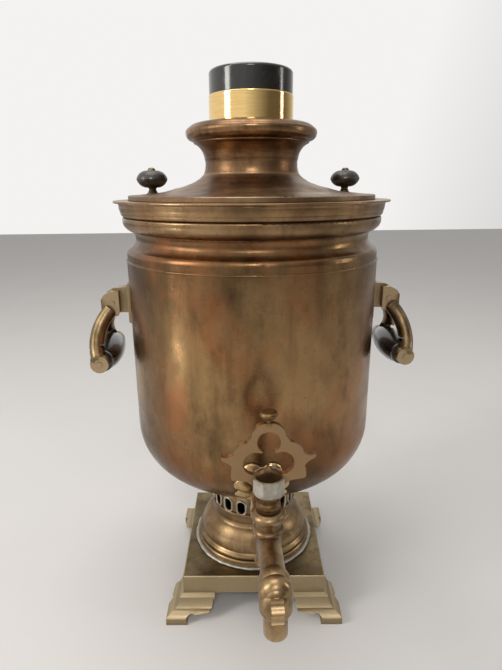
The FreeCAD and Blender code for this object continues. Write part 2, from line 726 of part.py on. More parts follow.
def crown():
    """The crown on the lid that holds a teapot, with the sleeve that guides it on the tube."""
    rise = d.crown_height
    low = crown_seat
    waist = d.crown_waist
    bead = d.crown_radius
    wall = d.crown_wall
    mouth = d.crown_mouth
    turned_body("crown_ring", [
        (d.lid_bore + d.crown_setback, low),
        (d.lid_collar_radius, low),
        (waist, low + 0.19 * rise, -0.06),
        (waist + 0.01 * bead, low + 0.3 * rise, -0.06),
        (waist + 0.14 * (bead - waist), low + 0.44 * rise, -0.04),
        (waist + 0.43 * (bead - waist), low + 0.57 * rise, -0.06),
        (waist + 0.56 * (bead - waist), low + 0.6 * rise),
        (waist + 0.60 * (bead - waist), low + 0.63 * rise, 0.3),
        (waist + 0.74 * (bead - waist), low + 0.655 * rise),
        (bead, low + 0.78 * rise, 0.16),
        (waist + 0.86 * (bead - waist), low + 0.89 * rise, 0.18),
        (waist + 0.52 * (bead - waist), low + 0.965 * rise, 0.08),
        (mouth + wall, crown_top, -0.05),
        (mouth, crown_top),
        (mouth, sleeve_ledge),
        (mouth - 0.5 * wall, sleeve_ledge),
        (mouth - 0.5 * wall, low + 0.5 * rise),
        (waist - wall, low + 0.3 * rise),
        (waist - wall, low + 0.19 * rise),
    ])
    outer = d.sleeve_radius
    turned_body("crown_sleeve", [
        (outer - d.sleeve_wall, low - d.sleeve_drop),
        (outer, low - d.sleeve_drop),
        (outer, sleeve_ledge),
        (mouth - d.fit_gap, sleeve_ledge),
        (mouth - d.fit_gap, cap_seat),
        (outer - d.sleeve_wall, cap_seat),
    ])


def cap():
    """The cap that shuts the fire tube: a black top on a bright band."""
    outer = d.band_radius
    top = cap_seat + d.band_height
    inner = outer - d.band_wall
    turned_body("cap_band", [
        (inner, cap_seat),
        (outer - 0.5 * d.band_wall, cap_seat),
        (outer, cap_seat + 0.5 * d.band_wall, 0.2),
        (outer, top - d.band_wall),
        (outer - 0.5 * d.band_wall, top, 0.2),
        (inner, top),
    ])
    spigot = inner - d.fit_gap
    rounding = 0.17 * d.cap_height
    turned_body("cap_top", [
        (spigot - d.cap_wall, top - d.cap_spigot),
        (spigot, top - d.cap_spigot),
        (spigot, top),
        (d.cap_radius, top),
        (d.cap_radius, top + d.cap_height - rounding),
        (d.cap_radius - 0.7 * rounding, top + d.cap_height, 0.2),
        (0, top + d.cap_height),
        (0, top + d.cap_height - d.cap_wall),
        (spigot - d.cap_wall, top + d.cap_height - d.cap_wall),
    ])


def escutcheon():
    """The eight-petalled plate behind the tap, bent to the jar's wall."""
    body = new_body("tap_escutcheon")
    out = d.petal_thickness
    top = wall_foot + 0.5 * d.jar_straight
    edge, bend, foot = jar_skin(out)
    band = [
        *jar_skin(as_size(0)),
        (d.jar_radius, top),
        (d.jar_radius + out, top),
        foot[:2],
        (*bend[:2], -foot[2]),
        (*edge[:2], -bend[2]),
    ]
    turn(body, "petal_skin", band)
    sketch = new_sketch(body, "XZ_Plane", "petal_outline")
    far = 2 * d.jar_radius
    draw_box(sketch, -far, 0.1 * d.jar_radius, far, 2 * wall_top)
    valley = 0.84 * d.petal_radius
    petals = []
    for step in range(8):
        angle = math.radians(90 - 45 * step)
        # The two petals at the top are longer than the others
        reach = valley * (1 + 0.2 * max(0, math.sin(angle)) ** 2)
        bow = -0.65 if step < 2 else -0.42
        petals.append((reach * math.cos(angle), d.tap_height + reach * math.sin(angle), bow))
    draw_outline(sketch, petals)
    cut(body, "petal_trim", sketch, 3 * d.jar_radius, reverse=True)
    sketch = new_sketch(body, "XZ_Plane", "petal_back_outline")
    draw_box(sketch, -far, 0.1 * d.jar_radius, far, 2 * wall_top)
    cut(body, "petal_back", sketch, 3 * d.jar_radius)
    sketch = new_sketch(body, "XZ_Plane", "petal_hole_outline")
    draw_circle(sketch, 0, d.tap_height, d.shank_radius + d.fit_gap)
    cut(body, "petal_hole", sketch, 3 * d.jar_radius, reverse=True)


def tap_body():
    """The cast tap: shank, ringed barrel, and a spout that bends down to its mouth.

    Its own origin is where the spout's axis meets the plug's axis."""
    body = new_body("tap_body")
    ring = d.barrel_radius
    top = d.barrel_top
    low = -d.barrel_drop
    turn(body, "barrel", [
        (0, low),
        (0.84 * ring, low),
        (0.95 * ring, low + 0.08 * top, 0.3),
        (0.84 * ring, low + 0.16 * top),
        (0.84 * ring, 0.26 * top),
        (0.95 * ring, 0.26 * top),
        (0.95 * ring, 0.44 * top, 0.3),
        (0.88 * ring, 0.46 * top),
        (0.88 * ring, 0.68 * top),
        (0.98 * ring, 0.7 * top),
        (0.98 * ring, 0.98 * top, 0.35),
        (0.9 * ring, top),
        (0, top),
    ])
    shank = new_sketch(body, "XZ_Plane", "shank_outline")
    draw_circle(shank, 0, 0, d.shank_radius)
    extrude(body, "shank", shank, d.tap_reach - d.tap_inside, reverse=True)
    spout = d.spout_radius
    reach = d.spout_reach
    bulb = d.elbow_radius
    shape = [(0, 0), (spout, 0), (spout, reach - 1.5 * bulb)]
    shape += [(bulb, reach - 0.5 * bulb, 0.12), (0.7 * bulb, reach + 0.5 * bulb, 0.2)]
    shape += [(0.3 * bulb, reach + 0.72 * bulb, 0.1), (0, reach + 0.72 * bulb)]
    sketch = new_sketch(body, "XY_Plane", "spout_outline")
    draw_outline(sketch, [(point[0], -as_size(point[1]), *[-bow for bow in point[2:]])
                          for point in shape])
    tube = body.newObject("PartDesign::Revolution", "spout_tube")
    tube.Profile = sketch
    tube.ReferenceAxis = (sketch, ["V_Axis"])
    tube.Angle = 360
    mouth = new_sketch(body, "XY_Plane", "mouth_outline", -d.spout_drop)
    draw_circle(mouth, 0, -reach, d.mouth_radius)
    extrude(body, "mouth", mouth, d.spout_drop)
    turn(body, "swelling", [
        (0, -0.44 * d.spout_drop),
        (0.84 * bulb, -0.44 * d.spout_drop),
        (1.03 * bulb, -0.3 * d.spout_drop, 0.2),
        (0.97 * bulb, -0.04 * d.spout_drop, 0.06),
        (0.4 * bulb, 0.6 * bulb, 0.12),
        (0, 0.6 * bulb),
    ], offset=reach)
    front = -(reach + d.mouth_radius)
    hook = new_sketch(body, "YZ_Plane", "hook_outline")
    curl = 0.5 * bulb
    draw_outline(hook, [
        (front + curl, 0.35 * bulb),
        (front - 0.2 * curl, 0.35 * bulb),
        (front - 1.2 * curl, -0.2 * bulb, -0.25),
        (front - 1.0 * curl, -1.05 * bulb, -0.25),
        (front - 0.3 * curl, -1.15 * bulb, -0.3),
        (front + curl, -0.95 * bulb),
    ])
    extrude(body, "hook", hook, d.hook_width, both_ways=True)
    bore = new_sketch(body, "XY_Plane", "mouth_bore_outline", -d.spout_drop)
    draw_circle(bore, 0, -reach, d.mouth_bore)
    cut(body, "mouth_bore_hole", bore, d.spout_drop + 0.3 * d.spout_radius, reverse=True)
    way = new_sketch(body, "XZ_Plane", "waterway_outline", -(d.tap_reach - d.tap_inside))
    draw_circle(way, 0, 0, d.waterway)
    cut(body, "waterway_hole", way, d.tap_reach - d.tap_inside + reach, reverse=True)
    wide = d.plug_radius + d.fit_gap
    turn(body, "plug_bore", [
        (0, low),
        (wide - d.plug_taper, low),
        (wide, top),
        (0, top),
    ], kind="Groove")
    put(body, 0, -d.tap_reach, d.tap_height)


def tap_key():
    """The tapered plug with its turned neck, the collar, the cut-out key plate, the washer."""
    low = -d.barrel_drop
    top = d.barrel_top
    wide = d.plug_radius
    thin = wide - d.plug_taper
    neck_top = top + d.key_neck
    washer = 0.1 * d.barrel_drop
    end = 0.5 * thin
    plug = new_body("tap_plug")
    turn(plug, "plug_turned", [
        (0, low - 2.4 * washer),
        (0.85 * end, low - 2.4 * washer),
        (1.35 * end, low - washer - 3 * d.fit_gap, 0.2),
        (end, low - washer - 3 * d.fit_gap),
        (end, low - d.fit_gap),
        (thin, low - d.fit_gap),
        (wide, top),
        (0.72 * d.barrel_radius, top + 0.15 * d.key_neck, 0.1),
        (0.72 * d.barrel_radius, top + 0.62 * d.key_neck, 0.2),
        (0.56 * d.barrel_radius, top + 0.72 * d.key_neck),
        (0.6 * d.barrel_radius, neck_top, -0.1),
        (0, neck_top),
    ])
    sketch = new_sketch(plug, "YZ_Plane", "plug_hole_outline")
    draw_circle(sketch, 0, 0, d.waterway)
    cut(plug, "plug_hole", sketch, 4 * wide, both_ways=True)
    put(plug, 0, -d.tap_reach, d.tap_height)

    ring = turned_body("tap_washer", [
        (end + d.fit_gap, low - washer - 2 * d.fit_gap),
        (1.2 * thin, low - washer - 2 * d.fit_gap),
        (1.2 * thin, low - 2 * d.fit_gap),
        (end + d.fit_gap, low - 2 * d.fit_gap),
    ])
    put(ring, 0, -d.tap_reach, d.tap_height)

    collar = new_body("tap_key_collar")
    sketch = new_sketch(collar, "XY_Plane", "collar_outline", neck_top)
    corners = [math.radians(22.5 + 45 * step) for step in range(8)]
    draw_outline(sketch, [(d.collar_radius * math.cos(angle), d.collar_radius * math.sin(angle))
                          for angle in corners])
    extrude(collar, "collar_block", sketch, d.collar_height)
    turn(collar, "collar_trim", [
        (0.66 * d.collar_radius, neck_top),
        (0.97 * d.collar_radius, neck_top + 0.3 * d.collar_height, 0.12),
        (1.1 * d.collar_radius, neck_top + 0.3 * d.collar_height),
        (1.1 * d.collar_radius, neck_top),
    ], kind="Groove")
    turn(collar, "collar_cup", [
        (0, neck_top + 0.3 * d.collar_height),
        (0.72 * d.collar_radius, neck_top + 0.3 * d.collar_height),
        (0.82 * d.collar_radius, neck_top + d.collar_height),
        (0, neck_top + d.collar_height),
    ], kind="Groove")
    sketch = new_sketch(collar, "YZ_Plane", "collar_slot_outline")
    half = 0.5 * d.key_thickness + d.fit_gap
    draw_box(sketch, -half, neck_top + 0.3 * d.collar_height, half, neck_top + d.collar_height)
    cut(collar, "collar_slot", sketch, 3 * d.collar_radius, both_ways=True)
    put(collar, 0, -d.tap_reach, d.tap_height)

    plate = new_body("tap_key_plate")
    foot = neck_top + 0.3 * d.collar_height
    rise = d.key_height
    span = d.key_half_span
    lobe = d.key_lobe
    head = foot + rise
    side = [
        (0.22 * span, foot),
        (0.34 * span, foot + 0.06 * rise, 0.05),
        (0.52 * span, foot + 0.15 * rise, -0.12),
        (0.76 * span, foot + 0.17 * rise),
        (0.80 * span, foot + 0.24 * rise, 0.2),
        (0.77 * span, foot + 0.36 * rise, 0.05),
        (0.97 * span, foot + 0.47 * rise, -0.08),
        (span, foot + 0.53 * rise, 0.2),
        (0.75 * span, foot + 0.55 * rise, -0.14),
        (0.46 * span, foot + 0.72 * rise, 0.17),
        (0.95 * lobe, head - 0.8 * lobe, 0.05),
    ]
    across = [(-point[0], point[1]) for point in reversed(side)]
    bows = [point[2:] for point in side]
    mirrored = [across[0]]
    for index in range(1, len(across)):
        mirrored.append((*across[index], *bows[len(side) - index]))
    crest = [(0, head, 0.207), (mirrored[0][0], mirrored[0][1], 0.207)]
    sketch = new_sketch(plate, "XZ_Plane", "key_outline")
    draw_outline(sketch, side + crest + mirrored[1:])
    extrude(plate, "key_block", sketch, d.key_thickness, both_ways=True)
    openings = [("top", 0, head - 1.15 * lobe, d.key_hole)]
    openings += [("right", 0.28 * span, foot + 0.41 * rise, 1.09 * d.key_hole)]
    openings += [("left", -0.28 * span, foot + 0.41 * rise, 1.09 * d.key_hole)]
    openings += [("middle", 0, foot + 0.5 * rise, 0.75 * d.key_hole)]
    for name, x, height, radius in openings:
        sketch = new_sketch(plate, "XZ_Plane", f"key_opening_{name}_outline")
        draw_circle(sketch, x, height, radius)
        cut(plate, f"key_opening_{name}", sketch, 3 * d.key_thickness, both_ways=True)
    disc = d.finial_radius
    turn(plate, "key_finial", [
        (0, head - 0.3 * disc),
        (0.36 * disc, head - 0.3 * disc),
        (0.36 * disc, head + 0.5 * disc),
        (disc, head + 0.85 * disc, 0.15),
        (0.8 * disc, head + 1.45 * disc, 0.35),
        (0, head + 1.45 * disc),
    ])
    put(plate, 0, -d.tap_reach, d.tap_height)


def handle(name, side):
    """One side handle: bracket, two pinned arms, and a wooden grip on its rod.

    It is drawn on the +X side; the other one is the same turned half round."""
    pin_x = d.handle_pin_reach
    pin_z = d.handle_height
    grip_z = pin_z - d.handle_grip_drop
    radius = d.jar_radius
    turned = 0 if side > 0 else 180

    bracket = new_body("handle_bracket_" + name)
    half = 0.5 * d.wall_plate_height
    turn(bracket, f"wall_plate_{name}", [
        (radius, pin_z - half),
        (radius + d.wall_plate, pin_z - 0.92 * half, -0.1),
        (radius + d.wall_plate, pin_z + 0.92 * half),
        (radius, pin_z + half, -0.1),
    ])
    sketch = new_sketch(bracket, "XY_Plane", f"wall_plate_trim_outline_{name}")
    far = 2 * radius
    wide = 1.3 * d.tongue_width
    draw_outline(sketch, [(-far, -far), (far, -far), (far, -wide), (0, -wide),
                          (0, wide), (far, wide), (far, far), (-far, far)])
    cut(bracket, f"wall_plate_trim_{name}", sketch, 2 * pin_z, reverse=True)
    ear = d.ear_size
    sketch = new_sketch(bracket, "XZ_Plane", f"tongue_outline_{name}")
    draw_outline(sketch, [
        (radius + 0.5 * d.wall_plate, pin_z - 1.1 * ear),
        (pin_x, pin_z - 1.1 * ear),
        (pin_x + ear, pin_z - 0.6 * ear, 0.12),
        (pin_x + ear, pin_z + 0.3 * ear),
        (pin_x - 0.3 * ear, pin_z + 1.5 * ear),
        (radius + 0.5 * d.wall_plate, pin_z + 1.6 * ear),
    ])
    extrude(bracket, f"tongue_{name}", sketch, d.tongue_width, both_ways=True)
    sketch = new_sketch(bracket, "XZ_Plane", f"pin_hole_outline_{name}")
    draw_circle(sketch, pin_x, pin_z, d.pin_radius + d.fit_gap)
    cut(bracket, f"pin_hole_{name}", sketch, 4 * d.tongue_width, both_ways=True)
    put(bracket, 0, 0, 0, turned)

    ear_in = 0.5 * d.tongue_width + d.fit_gap
    ear_mid = ear_in + 0.5 * d.ear_thickness
    boss_in = 0.5 * d.grip_length + 6 * d.fit_gap
    boss_mid = boss_in + 0.5 * d.boss_length
    pin = new_body("handle_pin_" + name)
    sketch = new_sketch(pin, "XZ_Plane", f"pin_outline_{name}")
    draw_circle(sketch, pin_x, pin_z, d.pin_radius)
    pin_half = ear_in + d.ear_thickness + 10 * d.fit_gap
    extrude(pin, f"pin_{name}", sketch, 2 * pin_half, both_ways=True)
    put(pin, 0, 0, 0, turned)

    rod = new_body("grip_rod_" + name)
    sketch = new_sketch(rod, "XZ_Plane", f"rod_outline_{name}")
    draw_circle(sketch, d.handle_grip_reach, grip_z, d.rod_radius)
    rod_half = boss_in + d.boss_length + 10 * d.fit_gap
    extrude(rod, f"rod_{name}", sketch, 2 * rod_half, both_ways=True)
    put(rod, 0, 0, 0, turned)

    grip = new_body("grip_" + name)
    long = 0.5 * d.grip_length
    fat = d.grip_radius
    end = d.grip_end_radius
    bore = d.rod_radius + d.fit_gap
    turn(grip, f"grip_turned_{name}", [
        (bore, -long),
        (end, -long),
        (end, -0.93 * long),
        (end, 0.93 * long, (fat.value - end.value) / (1.86 * long.value)),
        (end, long),
        (bore, long),
    ])
    reach = d.handle_grip_reach * side
    lying = FreeCAD.Rotation(V(1, 0, 0), 90)
    grip.Placement = FreeCAD.Placement(V(reach.value, 0, grip_z.value), lying)

    # Both arms are the same casting: the one towards +Y is drawn, the other is its mirror image
    top = V(pin_x.value + 0.25 * ear.value, ear_mid.value, pin_z.value - 0.7 * ear.value)
    foot = V(d.handle_grip_reach.value, boss_mid.value, grip_z.value)
    bend_z = grip_z.value + 0.42 * (top.z - grip_z.value)
    bend = V(d.handle_bulge.value, 0.62 * boss_mid.value, bend_z)
    path = Part.Arc(top, bend, foot).toShape()
    start = path.tangentAt(path.FirstParameter)
    disc = Part.Face(Part.Wire([Part.makeCircle(d.arm_radius.value, top, start)]))
    sweep = math.degrees(path.LastParameter - path.FirstParameter)
    limb = disc.revolve(path.Curve.Center, path.Curve.Axis, sweep)
    across = V(0, 1, 0)
    lug_shape = [(1.13, -1.33), (1.13, 0.4), (0.8, 0.9), (0.15, 1.25), (-0.7, 1.25), (-0.7, -0.95)]
    lug_shape += [(-0.5, -1.33), (1.13, -1.33)]
    lug_points = [V(pin_x.value + x * ear.value, ear_in.value, pin_z.value + z * ear.value)
                  for x, z in lug_shape]
    lug = Part.Face(Part.makePolygon(lug_points)).extrude(across * d.ear_thickness.value)
    boss_base = V(foot.x, boss_in.value, foot.z)
    boss = Part.makeCylinder(d.boss_radius.value, d.boss_length.value, boss_base, across)
    # The inner faces of the ear and the boss stay flat, so what crosses them is cut away
    slab = Part.makeBox(2 * pin_x.value, ear_in.value, 2 * pin_z.value)
    envelope = fat.value + d.grip_clearance.value
    core = Part.makeCylinder(envelope, boss_in.value, V(foot.x, 0, foot.z), across)
    deep = 2 * (boss_in.value + d.boss_length.value)
    pin_start = V(pin_x.value, 0, pin_z.value)
    pin_hole = Part.makeCylinder(d.pin_radius.value + d.fit_gap.value, deep, pin_start, across)
    rod_start = V(foot.x, 0, foot.z)
    rod_hole = Part.makeCylinder(d.rod_radius.value + d.fit_gap.value, deep, rod_start, across)
    arm = limb.fuse([lug, boss]).cut([slab, core, pin_hole, rod_hole]).removeSplitter()
    for place, way in (("front", -side), ("rear", side)):
        label = f"handle_arm_{name}_{place}"
        piece = doc.addObject("Part::Feature", label)
        piece.Label = label
        piece.Shape = arm if way > 0 else arm.mirror(V(0, 0, 0), across)
        piece.Placement = FreeCAD.Placement(V(0, 0, 0), FreeCAD.Rotation(V(0, 0, 1), turned))
        bodies.append(piece)


base_plate()
corners = ("foot_front_left", "foot_front_right", "foot_rear_right", "foot_rear_left")
for corner, label in enumerate(corners):
    corner_foot(label, corner)
solder_ring()
pedestal()
grate()
jar()
fire_tube()
rim_ring()
lid_shell()
lid_flange()
for name, side in (("right", 1), ("left", -1)):
    lid_knob(name, side)
steam_vent()
crown()
cap()
escutcheon()
tap_body()
tap_key()
for name, side in (("right", 1), ("left", -1)):
    handle(name, side)
doc.recompute()

failed = [item.Label for item in doc.Objects if "Invalid" in item.State or "Error" in item.State]
failed += [item.Label for item in bodies if item.Shape.isNull() or not item.Shape.isValid()]
failed += [item.Label for item in bodies if len(item.Shape.Solids) != 1]
if failed:
    raise SystemExit("failed: " + ", ".join(sorted(set(failed))))
os.makedirs("parts", exist_ok=True)
for item in bodies:
    item.Shape.exportStep(f"parts/{item.Label}.step")
print(len(bodies), "pieces written")
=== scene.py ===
# %% [markdown]
# # A charcoal samovar in old brass
#
# The samovar stands on a square footed base. A pierced pedestal carries the jar, and a lid, a
# crown for the teapot and a cap close the fire tube that runs up its middle. The solids come
# from the workshop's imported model, at their real size and in metres. This file gives every one
# of them its finish, adds the small soft details that a lathe or a casting leaves, and sets up
# the camera and the light.

# %% Load the frame
import bpy
import bmesh
import math
from mathutils import Matrix, Vector, noise


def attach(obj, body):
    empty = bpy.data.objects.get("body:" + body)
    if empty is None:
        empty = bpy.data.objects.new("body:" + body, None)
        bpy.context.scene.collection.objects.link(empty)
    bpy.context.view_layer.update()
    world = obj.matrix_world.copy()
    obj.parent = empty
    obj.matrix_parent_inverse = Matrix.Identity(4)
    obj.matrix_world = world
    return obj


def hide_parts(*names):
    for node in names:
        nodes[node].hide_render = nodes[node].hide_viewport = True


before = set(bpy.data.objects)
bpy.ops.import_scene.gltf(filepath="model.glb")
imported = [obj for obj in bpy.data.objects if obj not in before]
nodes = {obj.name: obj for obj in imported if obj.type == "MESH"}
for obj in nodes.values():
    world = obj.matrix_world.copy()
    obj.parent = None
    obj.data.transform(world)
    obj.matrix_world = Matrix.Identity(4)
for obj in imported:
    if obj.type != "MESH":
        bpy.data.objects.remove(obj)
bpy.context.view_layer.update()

# %% [markdown]
# ## The camera
#
# The photograph was taken from a little above the lid, square to the base. The jar had been
# turned a few degrees on its base, which is why the tap points just right of the middle. The
# lens, the height and the tilt below are the ones at which the edges of the base and the
# circles of the lid fall where the photograph shows them. The camera could be aimed with a
# constraint, but plain numbers stay the same on every run.

# %% Place the camera
MM = 0.001
CAMERA_DISTANCE = 431.7 * MM
CAMERA_HEIGHT = 382.6 * MM
CAMERA_SIDE = -1.2 * MM
CAMERA_TILT = math.radians(16.84)
CAMERA_ROLL = math.radians(-0.35)
BASE_TURN = math.radians(-3.5)
FOCAL_PIXELS = 490
PHOTO_HEIGHT = 670
SENSOR = 36

camera_data = bpy.data.cameras.new("photo_camera")
camera_data.sensor_width = SENSOR
camera_data.lens = FOCAL_PIXELS / PHOTO_HEIGHT * SENSOR
camera_data.clip_start = 0.01
camera = bpy.data.objects.new("photo_camera", camera_data)
bpy.context.scene.collection.objects.link(camera)
towards_right = Vector((math.cos(BASE_TURN), math.sin(BASE_TURN), 0))
towards_front = Vector((math.sin(BASE_TURN), -math.cos(BASE_TURN), 0))
camera.location = (towards_front * CAMERA_DISTANCE + towards_right * CAMERA_SIDE
                   + Vector((0, 0, CAMERA_HEIGHT)))
look = Matrix.Rotation(BASE_TURN, 4, "Z") @ Matrix.Rotation(math.pi / 2 - CAMERA_TILT, 4, "X")
camera.rotation_euler = (look @ Matrix.Rotation(CAMERA_ROLL, 4, "Z")).to_euler()
bpy.context.scene.camera = camera
print("lens", round(camera_data.lens, 2), "mm")

# %% [markdown]
# ## Helpers for materials
#
# Every finish here is a small tree of nodes on one Principled shader. The trees repeat the
# same few moves: read a noise, bend it through a ramp, mix two colours by it. Short helpers
# keep each finish readable. All of them read the object's own coordinates, which are the
# frame's metres, so a stain or a scratch has its true size on every piece.

# %% Node helpers
def new_material(name):
    """An empty material with its shader, its output and the frame's coordinates."""
    material = bpy.data.materials.new(name)
    material.use_nodes = True
    tree = material.node_tree
    tree.nodes.clear()
    output = tree.nodes.new("ShaderNodeOutputMaterial")
    shader = tree.nodes.new("ShaderNodeBsdfPrincipled")
    place = tree.nodes.new("ShaderNodeTexCoord")
    tree.links.new(shader.outputs["BSDF"], output.inputs["Surface"])
    return material, tree, shader, place.outputs["Object"]


def noise_at(tree, place, scale, detail=4.0, stretch=(1, 1, 1), rough=0.55):
    """A noise whose grain is one over the scale, in metres, stretched along the axes."""
    spread = tree.nodes.new("ShaderNodeMapping")
    spread.inputs["Scale"].default_value = stretch
    tree.links.new(place, spread.inputs["Vector"])
    grain = tree.nodes.new("ShaderNodeTexNoise")
    grain.inputs["Scale"].default_value = scale
    grain.inputs["Detail"].default_value = detail
    grain.inputs["Roughness"].default_value = rough
    tree.links.new(spread.outputs["Vector"], grain.inputs["Vector"])
    return grain.outputs["Fac"]


def ramp(tree, value, low, high, bottom=0.0, top=1.0):
    """The value stretched so that low becomes bottom and high becomes top, and no further."""
    bend = tree.nodes.new("ShaderNodeMapRange")
    bend.inputs["From Min"].default_value = low
    bend.inputs["From Max"].default_value = high
    bend.inputs["To Min"].default_value = bottom
    bend.inputs["To Max"].default_value = top
    tree.links.new(value, bend.inputs["Value"])
    return bend.outputs["Result"]


def mix_colour(tree, share, first, second, blend="MIX"):
    """Two colours, each a tuple or a socket, mixed by a socket."""
    mixer = tree.nodes.new("ShaderNodeMix")
    mixer.data_type = "RGBA"
    mixer.blend_type = blend
    if hasattr(share, "links"):
        tree.links.new(share, mixer.inputs["Factor"])
    else:
        mixer.inputs["Factor"].default_value = share
    for colour, socket in ((first, mixer.inputs[6]), (second, mixer.inputs[7])):
        if hasattr(colour, "links"):
            tree.links.new(colour, socket)
        else:
            socket.default_value = (*colour, 1)
    return mixer.outputs[2]


def sum_of(tree, first, second, how="ADD"):
    """Two values, each a number or a socket, joined by a sum or another operation."""
    node = tree.nodes.new("ShaderNodeMath")
    node.operation = how
    for value, socket in ((first, node.inputs[0]), (second, node.inputs[1])):
        if hasattr(value, "links"):
            tree.links.new(value, socket)
        else:
            socket.default_value = value
    return node.outputs[0]


def relief(tree, shader, height, depth):
    """Lets a height, in grains of the given depth in metres, tilt the surface's shading."""
    bump = tree.nodes.new("ShaderNodeBump")
    bump.inputs["Strength"].default_value = 1.0
    bump.inputs["Distance"].default_value = depth
    tree.links.new(height, bump.inputs["Height"])
    tree.links.new(bump.outputs["Normal"], shader.inputs["Normal"])


print("helpers ready")

# %% [markdown]
# ## Old brass
#
# Brass that hasn't been polished for years isn't one colour. Air turns it brown, handling
# keeps the high spots golden, and heat and damp leave rosy and dark clouds. Shade is painted
# into the inner corners as well. A picture wrapped round the jar could give that, but it would
# bring its own light and mirror images with it. Here the layers are built one by one:
#
# 1. a base brown, with golden clouds a few centimetres wide;
# 2. rosy copper patches, dark drips and stains, small dark specks, then painted shade low on the
#    jar;
# 3. wear on the edges, from how strongly the surface bends;
# 4. painted shade in the corners, from how little light gets there;
# 5. faint marks from the lathe or the mould in the relief and the gloss.

# %% The recipe for brass
SPECKS_PER_METRE = 320
HAZE_PER_METRE = 55
LATHE_MARKS_PER_METRE = 90
PORES_PER_METRE = 900
DENTS_PER_METRE = 22
RAGGED_EDGE = 0.03
# How dark the painted shade low on the jar gets.
LOW_SHADE_SHARE = 0.62
# How far the painted shade in the corners reaches.
CORNER_SHADE_REACH = 8 * MM


def brass(name, brown, gold, rosy, gloss=(0.22, 0.42), cloud=16, turned=True, seed=0.0,
          wear=0.5, rosy_share=0.5, corner_shade=0.6, pits=0.00006, painted_shade_below=None):
    """Old brass: brown with golden clouds, rosy patches, bright worn edges and painted shade in
    the corners.

    Below the two heights given last, it is painted darker, fading upward: painted shade low on
    the piece."""
    material, tree, shader, place = new_material(name)
    shift = tree.nodes.new("ShaderNodeVectorMath")
    shift.operation = "ADD"
    shift.inputs[1].default_value = (seed, seed * 0.7, seed * 1.3)
    tree.links.new(place, shift.inputs[0])
    spot = shift.outputs[0]
    # A dark brown for the real drips, stains and specks, and also for the painted shade in the
    # corners and low on the jar.
    stain_and_shade_brown = tuple(channel * 0.35 for channel in brown)

    clouds = ramp(tree, noise_at(tree, spot, cloud, 6, (1, 1, 0.6), 0.6), 0.40, 0.60)
    colour = mix_colour(tree, clouds, brown, gold)
    patches = noise_at(tree, spot, cloud * 1.7, 7, (1, 1, 0.7), 0.66)
    patches = ramp(tree, patches, 0.47, 0.63, 0, rosy_share)
    colour = mix_colour(tree, patches, colour, rosy)
    drips = noise_at(tree, spot, cloud * 5, 4, (1, 1, 0.14), 0.6)
    colour = mix_colour(tree, ramp(tree, drips, 0.52, 0.7, 0, 0.3), colour, stain_and_shade_brown)
    stains = noise_at(tree, spot, cloud * 3.1, 7, (1, 1, 0.6), 0.7)
    colour = mix_colour(tree, ramp(tree, stains, 0.52, 0.72, 0, 0.55), colour, stain_and_shade_brown)
    specks = ramp(tree, noise_at(tree, spot, SPECKS_PER_METRE, 3), 0.64, 0.74, 0, 0.35)
    colour = mix_colour(tree, specks, colour, stain_and_shade_brown)
    # Painted shade low on the piece: below the first height the colour is darkened, fading out
    # by the second, with a ragged edge.
    if painted_shade_below:
        split = tree.nodes.new("ShaderNodeSeparateXYZ")
        tree.links.new(place, split.inputs[0])
        ragged = sum_of(tree, clouds, RAGGED_EDGE, "MULTIPLY")
        ragged = sum_of(tree, ragged, split.outputs["Z"])
        low = ramp(tree, ragged, painted_shade_below[0], painted_shade_below[1], LOW_SHADE_SHARE, 0)
        colour = mix_colour(tree, low, colour, stain_and_shade_brown)

    bend = tree.nodes.new("ShaderNodeNewGeometry")
    edges = ramp(tree, bend.outputs["Pointiness"], 0.52, 0.60, 0, wear)
    bright = tuple(min(1, channel * 1.4 + 0.04) for channel in gold)
    colour = mix_colour(tree, edges, colour, bright)
    # Painted shade: the colour is darkened in the corners, by how little light the ambient
    # occlusion finds there.
    hollow = tree.nodes.new("ShaderNodeAmbientOcclusion")
    hollow.inputs["Distance"].default_value = CORNER_SHADE_REACH
    hollow.samples = 4
    corners = ramp(tree, hollow.outputs["AO"], 0.35, 0.9, corner_shade, 0)
    colour = mix_colour(tree, corners, colour, stain_and_shade_brown)
    tree.links.new(colour, shader.inputs["Base Color"])

    shader.inputs["Metallic"].default_value = 1.0
    haze = ramp(tree, noise_at(tree, spot, HAZE_PER_METRE, 5), 0.3, 0.7, *gloss)
    haze = sum_of(tree, haze, ramp(tree, clouds, 0, 1, 0.05, 0))
    haze = sum_of(tree, haze, sum_of(tree, corners, 0.25, "MULTIPLY"))
    tree.links.new(haze, shader.inputs["Roughness"])

    along = (1, 1, 14) if turned else (1, 1, 1)
    marks = noise_at(tree, spot, LATHE_MARKS_PER_METRE, 3, along)
    fine = noise_at(tree, spot, PORES_PER_METRE, 2)
    height = sum_of(tree, marks, sum_of(tree, fine, 0.35, "MULTIPLY"))
    dents = sum_of(tree, noise_at(tree, spot, DENTS_PER_METRE, 2), 3.0, "MULTIPLY")
    height = sum_of(tree, height, dents)
    relief(tree, shader, height, pits)
    return material


BROWN = (0.125, 0.074, 0.036)
GOLD = (0.335, 0.208, 0.095)
ROSY = (0.310, 0.125, 0.052)
